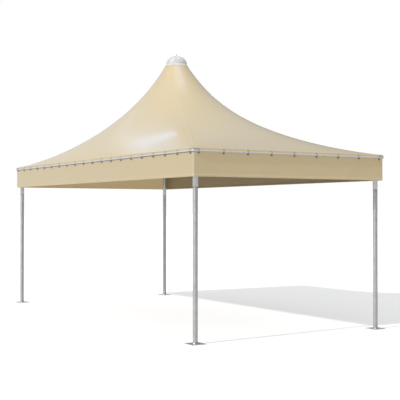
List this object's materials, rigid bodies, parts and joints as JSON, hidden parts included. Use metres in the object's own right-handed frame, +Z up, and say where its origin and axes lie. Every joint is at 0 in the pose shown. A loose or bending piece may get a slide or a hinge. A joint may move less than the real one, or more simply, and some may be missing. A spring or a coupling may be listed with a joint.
{
  "type": "marquee tent",
  "caption": "Open-sided peaked marquee tent: a tensioned membrane roof with a domed cap and hanging valances on tube posts with base plates.",
  "frame": {"origin": "on the floor under the roof's peak, at the middle of the underside of the whole tent", "axes": "+X along the long side, +Y along the short side, +Z up"},
  "size_m": [6.48, 3.2, 4.263],
  "materials": {
    "membrane": "coated polyester cloth with a soft gloss",
    "galvanised_steel": "hot dip galvanised",
    "rod_aluminium": "satin",
    "beam_aluminium": "mill finish extrusion",
    "cable_steel": "stranded wire rope and zinc plated screws",
    "cap_plastic": "white moulded, slightly glossy"
  },
  "bodies": {
    "root": {"back_beam": "beam_aluminium", "back_rod": "rod_aluminium", "back_valance": "membrane", "base_plate_back_left": "galvanised_steel", "base_plate_back_right": "galvanised_steel", "base_plate_front_left": "galvanised_steel", "base_plate_front_right": "galvanised_steel", "corner_head_back_left": "galvanised_steel", "corner_head_back_right": "galvanised_steel", "corner_head_front_left": "galvanised_steel", "corner_head_front_right": "galvanised_steel", "front_beam": "beam_aluminium", "front_rod": "rod_aluminium", "front_valance": "membrane", "left_beam": "beam_aluminium", "left_rod": "rod_aluminium", "left_valance": "membrane", "mast": "galvanised_steel", "mast_foot": "galvanised_steel", "peak_cap": "cap_plastic", "post_back_left": "galvanised_steel", "post_back_right": "galvanised_steel", "post_front_left": "galvanised_steel", "post_front_right": "galvanised_steel", "post_sleeve_back_left": "galvanised_steel", "post_sleeve_back_right": "galvanised_steel", "post_sleeve_front_left": "galvanised_steel", "post_sleeve_front_right": "galvanised_steel", "right_beam": "beam_aluminium", "right_rod": "rod_aluminium", "right_valance": "membrane", "rod_corner_back_left": "rod_aluminium", "rod_corner_back_right": "rod_aluminium", "rod_corner_front_left": "rod_aluminium", "rod_corner_front_right": "rod_aluminium", "roof_canopy": "membrane", "stay_cable_back_left": "cable_steel", "stay_cable_back_right": "cable_steel", "stay_cable_front_left": "cable_steel", "stay_cable_front_right": "cable_steel", "top_hoop": "galvanised_steel", "turnbuckle_back_left": "cable_steel", "turnbuckle_back_right": "cable_steel", "turnbuckle_front_left": "cable_steel", "turnbuckle_front_right": "cable_steel"}
  },
  "joints": []
}
